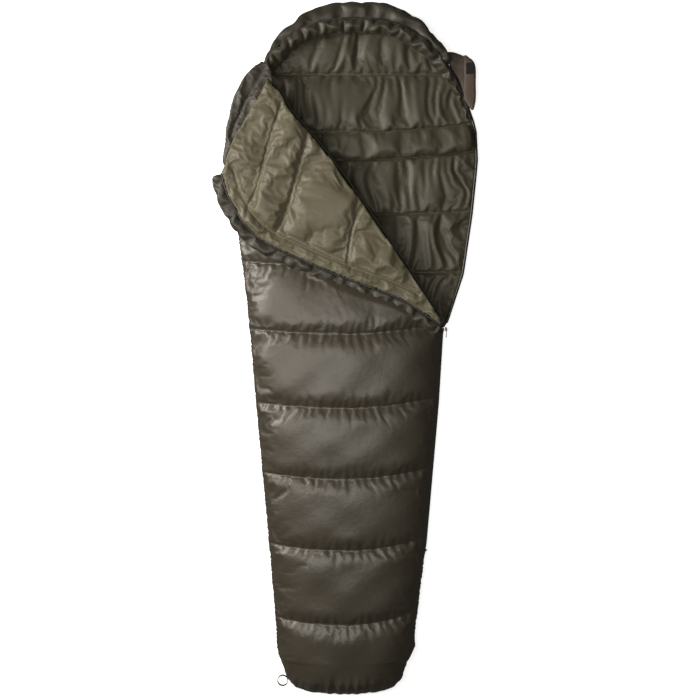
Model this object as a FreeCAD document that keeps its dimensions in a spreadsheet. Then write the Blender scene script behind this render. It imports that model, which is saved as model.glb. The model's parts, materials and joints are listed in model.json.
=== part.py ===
import FreeCAD, Part

import math
import os

import Sketcher

Vector = FreeCAD.Vector
Placement = FreeCAD.Placement
Rotation = FreeCAD.Rotation

doc = FreeCAD.newDocument("SleepingBag")

# ---------------------------------------------------------------- driving dimensions, in millimetres
# +X is the wearer's left as the bag lies on its back, +Y points to the hood and +Z up from the floor.

SIZES = [
    ("fabric", 1.2, "thickness of shell and lining as modelled"),
    ("back_loft", 36, "thickness of the back panel's padding"),
    ("top_loft", 34, "thickness of the top panel's padding"),
    ("pinch", 9, "how far a quilting seam pulls the padding in"),
    ("layer_gap", 0.5, "space left between two layers"),
    ("seam_gap", 2, "gap between two padded channels at a seam"),
    ("edge_round", 28, "radius of the back panel's lower edge"),
    ("fold_x", 304, "lower end of the zip opening, where the flap starts to fold"),
    ("fold_y", 79, "the same point, along the bag"),
    ("fold_z", 88, "height of the fold at that point"),
    ("fold_rise", 16, "how much higher the fold is at the neck"),
    ("fold_length", 905, "length of the fold, from the zip's lower end to the neck"),
    ("fold_angle", 123.5, "direction of the fold in plan, from +X"),
    ("fold_tilt", 1.5, "how far the folded flap slopes down to its free side, in degrees"),
    ("fold_clear", 10, "soft strip each side of the fold that holds no padding"),
    ("flap_loft", 32, "thickness of the flap's padding"),
    ("hood_x", 25, "middle of the hood"),
    ("hood_half", 290, "half width of the hood at the neck"),
    ("hood_depth", 219, "from the neck seam to the crown"),
    ("hood_wall", 84, "height of the hood's outer wall"),
    ("hood_roll", 54, "width of the padded roll inside that wall"),
    ("rim_radius", 20, "radius of the padded tube round the face opening"),
    ("cord_radius", 2, "radius of the drawcord"),
    ("tape_thick", 1, "thickness of the zip tape"),
    ("tape_width", 24, "width of the closed zip's two tapes"),
    ("coil_width", 5, "width of the closed coil"),
    ("coil_thick", 2.4, "thickness of the coil"),
    ("zip_run", 716, "length of the closed zip below the opening"),
    ("zip_lean", 5.05, "how far the closed zip leans in towards the foot, in degrees"),
    ("zip_off", 2, "from the side seam to the zip tape"),
    ("slider_long", 13, "length of the zip slider"),
    ("slider_wide", 10, "width of the zip slider"),
    ("slider_deep", 4.4, "thickness of the zip slider"),
    ("groove_wide", 6, "width of the slider's groove over the coil"),
    ("groove_deep", 2.6, "depth of that groove"),
    ("pull_long", 30, "length of the zip pull"),
    ("pull_wide", 8, "width of the zip pull"),
    ("pull_thick", 1.8, "thickness of the zip pull"),
    ("lock_radius", 8, "radius of the cord lock's barrel"),
    ("lock_long", 18, "length of the cord lock's barrel"),
    ("lock_drop", 12, "how far the barrel reaches below its cord"),
    ("lock_bore", 5.4, "radius of the barrel's bore"),
    ("lock_floor", 1.2, "thickness of the barrel's floor"),
    ("button_radius", 5.2, "radius of the cord lock's button"),
    ("button_drop", 3.2, "how far the button reaches below the cord"),
    ("button_long", 13.5, "length of the button"),
    ("button_travel", 4, "how far the button is pressed"),
    ("spring_radius", 3.8, "mean radius of the cord lock's spring"),
    ("spring_wire", 0.5, "radius of the spring's wire"),
    ("spring_turns", 2.5, "turns of the spring"),
    ("tab_wide", 47, "width of the tab that covers the zip's top end"),
    ("tab_long", 160, "length of that tab"),
    ("tab_thick", 2.4, "thickness of the tab"),
    ("patch_wide", 24, "width of the touch fastener patches"),
    ("patch_long", 36, "length of the touch fastener patches"),
    ("patch_thick", 1.4, "thickness of the touch fastener patches"),
    ("loop_width", 12, "width of the webbing of the hang loop"),
    ("loop_length", 34, "how far the hang loop stands out"),
]

# Quilting seams from the foot to the neck: place along the bag, left edge, right edge, crown height.
STATIONS = [
    ("ankle", -894, -235, 206, 128),
    ("calf", -634, -258, 239.5, 128),
    ("knee", -406, -279, 259.5, 128),
    ("thigh", -171, -301, 280, 128),
    ("hip", 54, -320, 294, 124),
    ("waist", 244, -341, 356, 112),
    ("chest", 434, -368, 384, 108),
    ("armpit", 609, -386, 401, 108),
    ("collar", 697, -384, 397, 108),
    ("neck", 881, -300, 352, 104),
]

# The foot narrows past the ankle seam: place, half width, crown height.
FOOT_STATIONS = [
    ("instep", -983, 206, 126),
    ("toes", -1046, 182, 120),
    ("toe_bend", -1082, 140, 104),
    ("tip", -1100, 70, 78),
]

# The flap's free outline, measured along the fold and out from it: the zip edge, then the neck edge.
ZIP_EDGE = [(0, 6), (144, 75), (294, 185), (420, 272), (532, 342), (656, 360), (785, 342)]
NECK_EDGE = [(785, 342), (880, 200), (905, 60)]
# Two seams cross the flap, each given by its two ends.
FLAP_SEAMS = [((458, 0), (330, 160)), ((742, 0), (505, 300))]

sheet = doc.addObject("Spreadsheet::Sheet", "Sizes")


def fill_sheet():
    """Writes every driving dimension into the sheet, one row each."""
    row = 0
    for name, value, meaning in SIZES:
        row += 1
        sheet.set(f"A{row}", name)
        sheet.set(f"B{row}", str(value))
        sheet.set(f"C{row}", meaning)
        sheet.setAlias(f"B{row}", name)
    for name, place, left, right, crown in STATIONS:
        for suffix, value in (("place", place), ("left", left), ("right", right), ("crown", crown)):
            row += 1
            sheet.set(f"A{row}", f"{name}_{suffix}")
            sheet.set(f"B{row}", str(value))
            sheet.setAlias(f"B{row}", f"{name}_{suffix}")
    for name, place, half, crown in FOOT_STATIONS:
        for suffix, value in (("place", place), ("half", half), ("crown", crown)):
            row += 1
            sheet.set(f"A{row}", f"{name}_{suffix}")
            sheet.set(f"B{row}", str(value))
            sheet.setAlias(f"B{row}", f"{name}_{suffix}")


fill_sheet()
doc.recompute()


def size(name):
    """A dimension of the sheet as a plain number."""
    return float(sheet.get(name))


parts = []


def keep(thing, label):
    """Registers an object of the document as one sub-part."""
    thing.Label = label
    parts.append(thing)
    return thing


def feature(label, shape, placement=None):
    """A sub-part whose shape is computed from the sheet."""
    made = doc.addObject("Part::Feature", label)
    made.Shape = shape
    made.Placement = placement or Placement()
    return keep(made, label)


# ---------------------------------------------------------------- sections across the bag


def seam_rows(first, last):
    """Sections from one named seam to another: seams, and a full section half way between them."""
    names = [row[0] for row in STATIONS]
    chosen = names[names.index(first) : names.index(last) + 1]
    rows = []
    for name in chosen:
        here = {key: size(f"{name}_{key}") for key in ("place", "left", "right", "crown")}
        here["pinch"] = size("pinch")
        if rows:
            before = rows[-1]
            middle = {key: (before[key] + here[key]) / 2 for key in ("place", "left", "right", "crown")}
            middle["pinch"] = 0
            rows.append(middle)
        rows.append(here)
    return rows


def half_ellipse(row, inset, base):
    """The upper half of an ellipse across the bag, from its right foot to its left one."""
    middle = (row["left"] + row["right"]) / 2
    half = (row["right"] - row["left"]) / 2 - inset
    height = row["crown"] - base - inset - row["pinch"]
    centre = Vector(middle, row["place"], base)
    ellipse = Part.Ellipse(centre + Vector(half, 0, 0), centre + Vector(0, 0, height), centre)
    return Part.ArcOfEllipse(ellipse, 0, math.pi).toShape()


def line(start, end):
    return Part.LineSegment(start, end).toShape()


def arch_band(row, outer, inner, base):
    """A closed arch between two insets from the outer surface."""
    over = half_ellipse(row, outer, base)
    under = half_ellipse(row, inner, base)
    foot = Vector(row["right"] - outer, row["place"], base)
    foot_inside = Vector(row["right"] - inner, row["place"], base)
    heel = Vector(row["left"] + outer, row["place"], base)
    heel_inside = Vector(row["left"] + inner, row["place"], base)
    return Part.Wire([over, line(heel, heel_inside), under, line(foot_inside, foot)])


def lower_path(row, inset, top):
    """The back panel's outline from its left top edge, under it, to its right top edge."""
    place = row["place"]
    radius = size("edge_round") - inset
    left = row["left"] + inset
    right = row["right"] - inset
    low = inset
    slant = radius * math.sqrt(0.5)
    left_arc = Part.Arc(
        Vector(left, place, low + radius),
        Vector(left + radius - slant, place, low + radius - slant),
        Vector(left + radius, place, low),
    ).toShape()
    right_arc = Part.Arc(
        Vector(right - radius, place, low),
        Vector(right - radius + slant, place, low + radius - slant),
        Vector(right, place, low + radius),
    ).toShape()
    return [
        line(Vector(left, place, top), Vector(left, place, low + radius)),
        left_arc,
        line(Vector(left + radius, place, low), Vector(right - radius, place, low)),
        right_arc,
        line(Vector(right, place, low + radius), Vector(right, place, top)),
    ]


def loft(wires):
    return Part.makeLoft(wires, True, True)


def channels(rows, section):
    """One solid for each padded channel, with a gap at every seam."""
    gap = size("seam_gap") / 2
    solids = []
    for start in range(0, len(rows) - 2, 2):
        trio = [dict(row) for row in rows[start : start + 3]]
        trio[0]["place"] += gap
        trio[2]["place"] -= gap
        solids.append(loft([section(row) for row in trio]))
    return Part.makeCompound(solids)


# ---------------------------------------------------------------- back panel

SEAM_HEIGHT = size("back_loft")
ARCH_BASE = SEAM_HEIGHT + size("fabric") + size("layer_gap")
SKIN = size("fabric")
GAP = size("layer_gap")
back_rows = seam_rows("ankle", "neck")


def back_shell_section(row):
    outside = lower_path(row, 0, SEAM_HEIGHT)
    inside = lower_path(row, SKIN, SEAM_HEIGHT)
    left = row["left"]
    right = row["right"]
    place = row["place"]
    left_rim = line(Vector(left, place, SEAM_HEIGHT), Vector(left + SKIN, place, SEAM_HEIGHT))
    right_rim = line(Vector(right, place, SEAM_HEIGHT), Vector(right - SKIN, place, SEAM_HEIGHT))
    return Part.Wire(Part.__sortEdges__(outside + inside + [left_rim, right_rim]))


def back_pad_section(row):
    inset = SKIN + GAP
    top = SEAM_HEIGHT - row["pinch"] / 2
    right_end = Vector(row["right"] - inset, row["place"], top)
    left_end = Vector(row["left"] + inset, row["place"], top)
    lid = line(right_end, left_end)
    return Part.Wire(Part.__sortEdges__(lower_path(row, inset, top) + [lid]))


def back_lining_section(row):
    inset = size("top_loft") + 2 * SKIN + 3 * GAP
    low = SEAM_HEIGHT + GAP / 2 - row["pinch"] / 2
    left = row["left"] + inset
    right = row["right"] - inset
    place = row["place"]
    corners = [(left, low), (right, low), (right, low + SKIN), (left, low + SKIN), (left, low)]
    return Part.makePolygon([Vector(across, place, up) for across, up in corners])


feature("back_shell", loft([back_shell_section(row) for row in back_rows]))
feature("back_insulation", channels(back_rows, back_pad_section))
feature("back_lining", loft([back_lining_section(row) for row in back_rows]))


# ---------------------------------------------------------------- closed top panel, over the legs

leg_rows = seam_rows("ankle", "hip")
PAD_OUT = SKIN + GAP
PAD_IN = PAD_OUT + size("top_loft")
LINING_OUT = PAD_IN + GAP
LINING_IN = LINING_OUT + SKIN

feature("top_shell", loft([arch_band(row, 0, SKIN, ARCH_BASE) for row in leg_rows]))
feature("top_insulation", channels(leg_rows, lambda row: arch_band(row, PAD_OUT, PAD_IN, ARCH_BASE)))
feature("top_lining", loft([arch_band(row, LINING_OUT, LINING_IN, ARCH_BASE) for row in leg_rows]))


# ---------------------------------------------------------------- frame of the folded flap


def flap_placement():
    """Local X runs along the fold to the neck, local Y out to the flap's free side, local Z up."""
    turn = math.radians(size("fold_angle"))
    rise = size("fold_rise") / size("fold_length")
    along = Vector(math.cos(turn), math.sin(turn), rise).normalize()
    level = Vector(-math.sin(turn), math.cos(turn), 0)
    drop = math.radians(size("fold_tilt"))
    out = (level * math.cos(drop) - Vector(0, 0, 1) * math.sin(drop)).normalize()
    up = along.cross(out).normalize()
    out = up.cross(along)
    start = Vector(size("fold_x"), size("fold_y"), size("fold_z"))
    return Placement(start, Rotation(along, out, up, "ZXY"))


FLAP = flap_placement()


def prism(points, low, high):
    """A straight solid over a plan outline, in local coordinates."""
    ring = [Vector(x, y, low) for x, y in points]
    return Part.Face(Part.makePolygon(ring + ring[:1])).extrude(Vector(0, 0, high - low))


def inset_line(points, distance):
    """An open outline moved to its right by a distance, corner by corner."""
    moved = []
    for index, (x, y) in enumerate(points):
        before = points[max(index - 1, 0)]
        after = points[min(index + 1, len(points) - 1)]
        run = math.hypot(after[0] - before[0], after[1] - before[1])
        shift_x = (after[1] - before[1]) / run * distance
        shift_y = (before[0] - after[0]) / run * distance
        moved.append((x + shift_x, y + shift_y))
    return moved


def strip(points, near, far, low, high):
    """A solid band along an open outline, between two distances inside it."""
    return prism(inset_line(points, near) + inset_line(points, far)[::-1], low, high)


def zip_strip(near, far, low, high):
    """A solid band along the flap's zip edge, cut from the same outline as the flap's padding."""
    whole = ZIP_EDGE + NECK_EDGE[1:]
    chosen = slice(1, len(ZIP_EDGE))
    return prism(inset_line(whole, near)[chosen] + inset_line(whole, far)[chosen][::-1], low, high)


# ---------------------------------------------------------------- fixed side of the top panel, under the flap

torso_rows = seam_rows("hip", "neck")
REACH = 1400


def left_of_fold():
    """Everything on the fixed side of the fold, as one block in the flap's frame."""
    block = Part.makeBox(REACH, REACH, REACH, Vector(-REACH / 4, size("fold_clear"), -REACH / 2))
    block.Placement = FLAP
    return block


def under_flap():
    """The space that the folded flap takes up."""
    grown = 14
    outline = inset_line(ZIP_EDGE, -grown) + inset_line(NECK_EDGE, -grown)
    outline += [(size("fold_length") + grown, -grown), (-grown, -grown)]
    block = prism(outline, -0.8, REACH / 4)
    block.Placement = FLAP
    return block


def fixed_side(outer, inner):
    """The arch between two insets, cut back to the fixed side and pressed down under the flap."""
    return fixed_piece(loft([arch_band(row, outer, inner, ARCH_BASE) for row in torso_rows]))


def fixed_piece(shape):
    return shape.common(left_of_fold()).cut(under_flap())


feature("side_shell", fixed_side(0, SKIN))
side_channels = channels(torso_rows, lambda row: arch_band(row, PAD_OUT, PAD_IN, ARCH_BASE))
side_padding = []
for channel in side_channels.Solids:
    side_padding.extend(fixed_piece(channel).Solids)
feature("side_insulation", Part.makeCompound(side_padding))
feature("side_lining", fixed_side(LINING_OUT, LINING_IN))


# ---------------------------------------------------------------- footbox


def ring(row, inset):
    """A whole section of the foot, inset all round."""
    arch = half_ellipse(row, inset, ARCH_BASE)
    return Part.Wire(Part.__sortEdges__(lower_path(row, inset, ARCH_BASE) + [arch]))


def foot_solid(inset):
    """The footbox filled up, moved in by a distance on every outer side."""
    ankle = seam_rows("ankle", "ankle")[0]
    middle = (ankle["left"] + ankle["right"]) / 2
    rows = [ankle]
    for name, *_ in FOOT_STATIONS:
        half = size(f"{name}_half")
        rows.append(
            {
                "place": size(f"{name}_place") + inset,
                "left": middle - half,
                "right": middle + half,
                "crown": size(f"{name}_crown"),
                "pinch": 0,
            }
        )
    return loft([ring(row, inset) for row in rows])


feature("foot_shell", foot_solid(0).cut(foot_solid(SKIN)))
feature("foot_insulation", foot_solid(PAD_OUT).cut(foot_solid(26)))
feature("foot_lining", foot_solid(26.5).cut(foot_solid(27.7)))


# ---------------------------------------------------------------- hood

NECK = size("neck_place") + GAP


def hood_plan(inset):
    """Half an ellipse over the neck seam, inset from the hood's outer edge, as a face on the floor."""
    centre = Vector(size("hood_x"), NECK, 0)
    wide = size("hood_half") - inset
    deep = size("hood_depth") - inset
    ellipse = Part.Ellipse(centre + Vector(wide, 0, 0), centre + Vector(0, deep, 0), centre)
    edge = Part.ArcOfEllipse(ellipse, 0, math.pi).toShape()
    base = line(centre - Vector(wide, 0, 0), centre + Vector(wide, 0, 0))
    return Part.Face(Part.Wire([edge, base]))


def hood_block(inset, low, high):
    face = hood_plan(inset)
    face.translate(Vector(0, 0, low))
    return face.extrude(Vector(0, 0, high - low))


WALL = size("hood_wall")
ROLL = size("hood_roll")
hood_skin = hood_block(0, 0, WALL).cut(hood_block(SKIN, SKIN, WALL + 1))
hood_pad = hood_block(ROLL, PAD_OUT, SEAM_HEIGHT)
hood_roll = hood_block(PAD_OUT, PAD_OUT, WALL - PAD_OUT).cut(hood_block(ROLL - GAP, 0, WALL))
hood_floor = hood_block(ROLL + SKIN + GAP, SEAM_HEIGHT + GAP, SEAM_HEIGHT + GAP + SKIN)
feature("hood_shell", hood_skin)
feature("hood_insulation", Part.makeCompound([hood_pad, hood_roll]))
feature("hood_lining", hood_floor)


def hood_arch(inset, height, section_radius, start_angle=0.0, end_angle=math.pi):
    """A tube that follows the hood's edge at an inset and a height."""
    centre = Vector(size("hood_x"), NECK, height)
    wide = size("hood_half") - inset
    deep = size("hood_depth") - inset
    ellipse = Part.Ellipse(centre + Vector(wide, 0, 0), centre + Vector(0, deep, 0), centre)
    spine = Part.Wire([Part.ArcOfEllipse(ellipse, start_angle, end_angle).toShape()])
    start = spine.Edges[0].valueAt(spine.Edges[0].FirstParameter)
    heading = spine.Edges[0].tangentAt(spine.Edges[0].FirstParameter)
    circle = Part.Wire([Part.Circle(start, heading, section_radius).toShape()])
    return spine.makePipeShell([circle], True, True)


RIM = size("rim_radius")
RIM_INSET = ROLL + RIM + 2
feature("hood_rim_tube", hood_arch(RIM_INSET, WALL - 8, RIM, 0.08, math.pi - 0.08))
CORD_HEIGHT = WALL + size("cord_radius") + 1
CORD_INSET = 30
feature("hood_drawcord", hood_arch(CORD_INSET, CORD_HEIGHT, size("cord_radius"), 0.1, math.pi - 0.1))


# ---------------------------------------------------------------- collar on the back panel


def back_collar():
    """The raised padded tube across the back panel, between the armpit and collar seams."""
    low = size("armpit_place") + 4
    high = size("collar_place") - 4
    left = -118
    right = size("armpit_right") - 16
    base = SEAM_HEIGHT + SKIN + GAP * 2
    middle = (low + high) / 2
    tall = 22

    def section(across):
        centre = Vector(across, middle, base)
        ellipse = Part.Ellipse(centre + Vector(0, (high - low) / 2, 0), centre + Vector(0, 0, tall), centre)
        arc = Part.ArcOfEllipse(ellipse, 0, math.pi).toShape()
        floor = line(centre - Vector(0, (high - low) / 2, 0), centre + Vector(0, (high - low) / 2, 0))
        return Part.Wire([arc, floor])

    return loft([section(left), section(right)])


feature("back_collar", back_collar())


# ---------------------------------------------------------------- flap, in its own frame

FLAP_TOP = SKIN + GAP + size("flap_loft")


def flap_outline(inset):
    """The flap's outline, inset from its zip edge and neck edge."""
    edge = inset_line(ZIP_EDGE + NECK_EDGE[1:], inset)
    fold = size("fold_clear")
    inside = [(x, y) for x, y in edge if y > fold + 1]
    start = min(x for x, y in inside) - 8
    return [(max(start, 20), fold)] + inside + [(size("fold_length") - inset, fold)]


def half_space(seam, sign):
    """A tall block on one side of a seam line across the flap."""
    (x0, y0), (x1, y1) = seam
    run = math.hypot(x1 - x0, y1 - y0)
    along = ((x1 - x0) / run, (y1 - y0) / run)
    side = (along[1] * sign, -along[0] * sign)
    offset = size("seam_gap") / 2
    start = (x0 - along[0] * REACH / 2 + side[0] * offset, y0 - along[1] * REACH / 2 + side[1] * offset)
    end = (x1 + along[0] * REACH / 2 + side[0] * offset, y1 + along[1] * REACH / 2 + side[1] * offset)
    far = [(point[0] + side[0] * REACH, point[1] + side[1] * REACH) for point in (end, start)]
    return prism([start, end] + far, -5, 80)


def flap_channels():
    """The padding of the flap, split at its two seams into tip, middle and neck channels."""
    tip_seam, collar_seam = FLAP_SEAMS
    whole = prism(flap_outline(30), SKIN + GAP, FLAP_TOP)
    tip = whole.common(half_space(tip_seam, -1))
    middle = whole.common(half_space(tip_seam, 1)).common(half_space(collar_seam, -1))
    neck = whole.common(half_space(collar_seam, 1))
    return Part.makeCompound([tip, middle, neck])


def flap_collar():
    """The padded tube along the flap's collar seam, on its lining."""
    (x0, y0), (x1, y1) = FLAP_SEAMS[1]
    run = math.hypot(x1 - x0, y1 - y0)
    along = Vector((x1 - x0) / run, (y1 - y0) / run, 0)
    side = Vector(along.y, -along.x, 0)
    half = 46
    start = Vector(x0, y0, FLAP_TOP + SKIN + 2 * GAP) + along * 30 + side * (half + 4)
    end = Vector(x1, y1, FLAP_TOP + SKIN + 2 * GAP) - along * 40 + side * (half + 4)

    def section(centre):
        ellipse = Part.Ellipse(centre + side * half, centre + Vector(0, 0, 20), centre)
        arc = Part.ArcOfEllipse(ellipse, 0, math.pi).toShape()
        return Part.Wire([arc, line(centre - side * half, centre + side * half)])

    return loft([section(start), section(end)])


feature("flap_shell", prism(flap_outline(10), 0, SKIN), FLAP)
feature("flap_insulation", flap_channels(), FLAP)
feature("flap_lining", prism(flap_outline(30), FLAP_TOP + GAP, FLAP_TOP + GAP + SKIN), FLAP)
feature("flap_collar", flap_collar(), FLAP)
feature("zip_draft_tube", zip_strip(11, 29, SKIN + GAP, FLAP_TOP - 4), FLAP)
feature("zip_tape_flap", zip_strip(3.5, 9.5, 0, size("tape_thick")), FLAP)
feature("zip_coil_flap", zip_strip(0.5, 3, -0.5, size("coil_thick") - 0.5), FLAP)


# ---------------------------------------------------------------- zip on the back panel's open edge


def open_edge():
    """The right edge of the back panel from the slider to the neck."""
    share = 0.24
    near = (size("hip_right"), size("hip_place"))
    far = (size("waist_right"), size("waist_place"))
    points = [(near[0] + share * (far[0] - near[0]), near[1] + share * (far[1] - near[1]))]
    for name in ("waist", "chest", "armpit", "collar", "neck"):
        points.append((size(f"{name}_right"), size(f"{name}_place")))
    return points[::-1]


feature("zip_tape_back", strip(open_edge(), -8, -1, 29, 29 + size("tape_thick")))
feature("zip_coil_back", strip(open_edge(), -11.5, -8.5, 28, 28 + size("coil_thick")))


# ---------------------------------------------------------------- closed zip below the opening


def zip_placement(out):
    """Local X points out of the bag's side, local Y towards the foot along the closed zip, local Z up."""
    lean = math.radians(size("zip_lean"))
    along = Vector(-math.sin(lean), -math.cos(lean), 0)
    outward = Vector(math.cos(lean), -math.sin(lean), 0)
    start = Vector(size("fold_x"), size("fold_y"), SEAM_HEIGHT) + outward * out
    return Placement(start, Rotation(outward, along, Vector(0, 0, -1), "ZXY"))


def bound_box(label, length, width, height, position, out):
    """A straight bar of the closed zip: length out of the bag, width along it, height across it."""
    bar = doc.addObject("Part::Box", label)
    bar.setExpression("Length", f"Sizes.{length}")
    bar.setExpression("Width", width)
    bar.setExpression("Height", f"Sizes.{height}")
    local = Placement(position, Rotation())
    bar.Placement = zip_placement(out).multiply(local)
    return keep(bar, label)


TAPE_OUT = size("zip_off")
COIL_OUT = TAPE_OUT + size("tape_thick")
tape_corner = Vector(0, 0, -size("tape_width") / 2)
bound_box("zip_tape_closed", "tape_thick", "Sizes.zip_run", "tape_width", tape_corner, TAPE_OUT)
coil_corner = Vector(0, 0, -size("coil_width") / 2)
bound_box("zip_coil_closed", "coil_thick", "Sizes.zip_run", "coil_width", coil_corner, COIL_OUT)
STOP_WIDE = 9
stop = doc.addObject("Part::Box", "zip_bottom_stop")
stop.Length = 4
stop.Width = 6
stop.Height = STOP_WIDE
stop_corner = Vector(0, size("zip_run") + size("layer_gap"), -STOP_WIDE / 2)
stop.Placement = zip_placement(COIL_OUT).multiply(Placement(stop_corner, Rotation()))
keep(stop, "zip_bottom_stop")


# ---------------------------------------------------------------- sketched hardware


def origin_plane(body, role):
    return next(plane for plane in body.Origin.OriginFeatures if plane.Role == role)


def new_sketch(body, name, role, offset):
    sketch = body.newObject("Sketcher::SketchObject", name)
    sketch.AttachmentSupport = [(origin_plane(body, role), "")]
    sketch.MapMode = "FlatFace"
    sketch.AttachmentOffset = Placement(offset, Rotation())
    return sketch


def rectangle(body, name, wide, tall, offset=Vector()):
    """A rectangle centred on its origin, with its two sides bound to the sheet."""
    sketch = new_sketch(body, name, "XY_Plane", offset)
    half_wide = size(wide) / 2
    half_tall = size(tall) / 2
    corners = [(-half_wide, -half_tall), (half_wide, -half_tall), (half_wide, half_tall), (-half_wide, half_tall)]
    for index in range(4):
        start = Vector(*corners[index], 0)
        end = Vector(*corners[(index + 1) % 4], 0)
        sketch.addGeometry(Part.LineSegment(start, end), False)
    for index in range(4):
        sketch.addConstraint(Sketcher.Constraint("Coincident", index, 2, (index + 1) % 4, 1))
    for index, rule in enumerate(("Horizontal", "Vertical", "Horizontal", "Vertical")):
        sketch.addConstraint(Sketcher.Constraint(rule, index))
    sketch.addConstraint(Sketcher.Constraint("Symmetric", 0, 1, 2, 1, -1, 1))
    across = sketch.addConstraint(Sketcher.Constraint("DistanceX", 0, 1, 0, 2, 2 * half_wide))
    upright = sketch.addConstraint(Sketcher.Constraint("DistanceY", 1, 1, 1, 2, 2 * half_tall))
    sketch.setExpression(f"Constraints[{across}]", f"Sizes.{wide}")
    sketch.setExpression(f"Constraints[{upright}]", f"Sizes.{tall}")
    return sketch


def pad(body, sketch, name, length):
    made = body.newObject("PartDesign::Pad", name)
    made.Profile = sketch
    made.Length = 1
    made.setExpression("Length", length)
    sketch.Visibility = False
    body.Tip = made
    return made


def pocket(body, sketch, name, depth):
    """A cut from the sketch into the solid that lies above it."""
    made = body.newObject("PartDesign::Pocket", name)
    made.Profile = sketch
    made.Reversed = True
    made.Length = 1
    made.setExpression("Length", depth)
    body.Tip = made
    return made


def sketched(label, build, placement):
    body = doc.addObject("PartDesign::Body", label)
    build(body)
    body.Placement = placement
    return keep(body, label)


def build_slider(body):
    """A plate over the coil, grooved along its length, with a bridge for the pull."""
    pad(body, rectangle(body, "slider_plan", "slider_wide", "slider_long"), "slider_plate", "Sizes.slider_deep")
    sheet_groove = rectangle(body, "groove_plan", "groove_wide", "zip_run")
    pocket(body, sheet_groove, "slider_groove", "Sizes.groove_deep")


def build_pull(body):
    pad(body, rectangle(body, "pull_plan", "pull_wide", "pull_long"), "pull_plate", "Sizes.pull_thick")


def build_tab(body):
    pad(body, rectangle(body, "tab_plan", "tab_wide", "tab_long"), "tab_plate", "Sizes.tab_thick")


def build_patch(body):
    pad(body, rectangle(body, "patch_plan", "patch_wide", "patch_long"), "patch_plate", "Sizes.patch_thick")


def slider_frame(along, out):
    """Local X across the zip, local Y along it to the foot, local Z out of the bag's side."""
    base = zip_placement(out)
    outward = base.Rotation.multVec(Vector(1, 0, 0))
    run = base.Rotation.multVec(Vector(0, 1, 0))
    return Placement(base.Base + run * along, Rotation(run.cross(outward), run, outward, "ZXY"))


SLIDER_ALONG = 12
SLIDER_OUT = COIL_OUT + 0.5
sketched("zip_slider", build_slider, slider_frame(SLIDER_ALONG, SLIDER_OUT))
PULL_OUT = SLIDER_OUT + size("slider_deep") + 0.6
sketched("zip_pull", build_pull, slider_frame(SLIDER_ALONG + size("pull_long") / 2 - 3, PULL_OUT))

TAB_X = 366
TAB_Y = 852
TAB_Z = SEAM_HEIGHT + 5
tab_centre = Vector(TAB_X + size("tab_wide") / 2, TAB_Y, TAB_Z)
sketched("zip_guard_tab", build_tab, Placement(tab_centre, Rotation()))
patch_centre = Vector(TAB_X + 19, TAB_Y + 45, TAB_Z + size("tab_thick"))
sketched("hook_patch", build_patch, Placement(patch_centre, Rotation()))
loop_patch_place = FLAP.multiply(Placement(Vector(760, 300, -size("patch_thick") - 0.2), Rotation()))
sketched("loop_patch", build_patch, loop_patch_place)


# ---------------------------------------------------------------- cord lock at the hood's left corner

LOCK_START = Vector(-258, 906, CORD_HEIGHT + 4)
LOCK_HEADING = Vector(-0.86, -0.51, 0)
CORD_RUN = 58


def heading_frame(base):
    """Local X along the cord, local Z up."""
    heading = Vector(LOCK_HEADING).normalize()
    return Placement(base, Rotation(heading, Vector(0, 0, 1).cross(heading), Vector(0, 0, 1), "ZXY"))


LOCK_OUT = 18
lock_base = heading_frame(LOCK_START + Vector(LOCK_HEADING).normalize() * LOCK_OUT)


def cord_stub():
    """The doubled end of the drawcord from its eyelet through the lock, to a knot."""
    radius = size("cord_radius") * 0.9
    run = Part.makeCylinder(radius, CORD_RUN, Vector(), Vector(1, 0, 0))
    knot = Part.makeSphere(radius * 2.4, Vector(CORD_RUN, 0, 0))
    return run.fuse(knot)


def across_cord(wide, low, high):
    """A block along the cord through the whole lock."""
    long = 4 * size("lock_radius")
    return Part.makeBox(long, wide, high - low, Vector(-long / 2, -wide / 2, low))


BORE_FLOOR = size("lock_floor") - size("lock_drop")
CORD_HOLE = 2 * (size("cord_radius") + 0.4)


def lock_barrel():
    """An upright barrel, bored from above for its button and pierced for the cord."""
    barrel = Part.makeCylinder(size("lock_radius"), size("lock_long"), Vector(0, 0, -size("lock_drop")))
    bore = Part.makeCylinder(size("lock_bore"), size("lock_long"), Vector(0, 0, BORE_FLOOR))
    return barrel.cut(bore).cut(across_cord(CORD_HOLE, -CORD_HOLE / 2, CORD_HOLE / 2))


def lock_button():
    """The button, with a slot that clears the cord over its whole travel."""
    button = Part.makeCylinder(size("button_radius"), size("button_long"), Vector(0, 0, -size("button_drop")))
    return button.cut(across_cord(CORD_HOLE, -CORD_HOLE / 2, CORD_HOLE / 2 + size("button_travel")))


SPRING_LOW = BORE_FLOOR + size("spring_wire") + 0.1
SPRING_HIGH = -size("button_drop") - size("spring_wire") - 0.1
WIRE_SIDES = 8


def lock_spring():
    """An open coil spring that stands on its own origin."""
    wire = size("spring_wire")
    tall = SPRING_HIGH - SPRING_LOW
    helix = Part.makeHelix(tall / size("spring_turns"), tall, size("spring_radius"))
    start = helix.Edges[0].valueAt(helix.Edges[0].FirstParameter)
    heading = helix.Edges[0].tangentAt(helix.Edges[0].FirstParameter)
    across = Vector(0, 0, 1).cross(heading).normalize() * wire
    upright = heading.cross(across)
    turns = [2 * math.pi * side / WIRE_SIDES for side in range(WIRE_SIDES)]
    corners = [start + across * math.cos(turn) + upright * math.sin(turn) for turn in turns]
    section = Part.makePolygon(corners + corners[:1])
    return Part.Wire(helix.Edges).makePipeShell([section], True, True)


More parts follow.
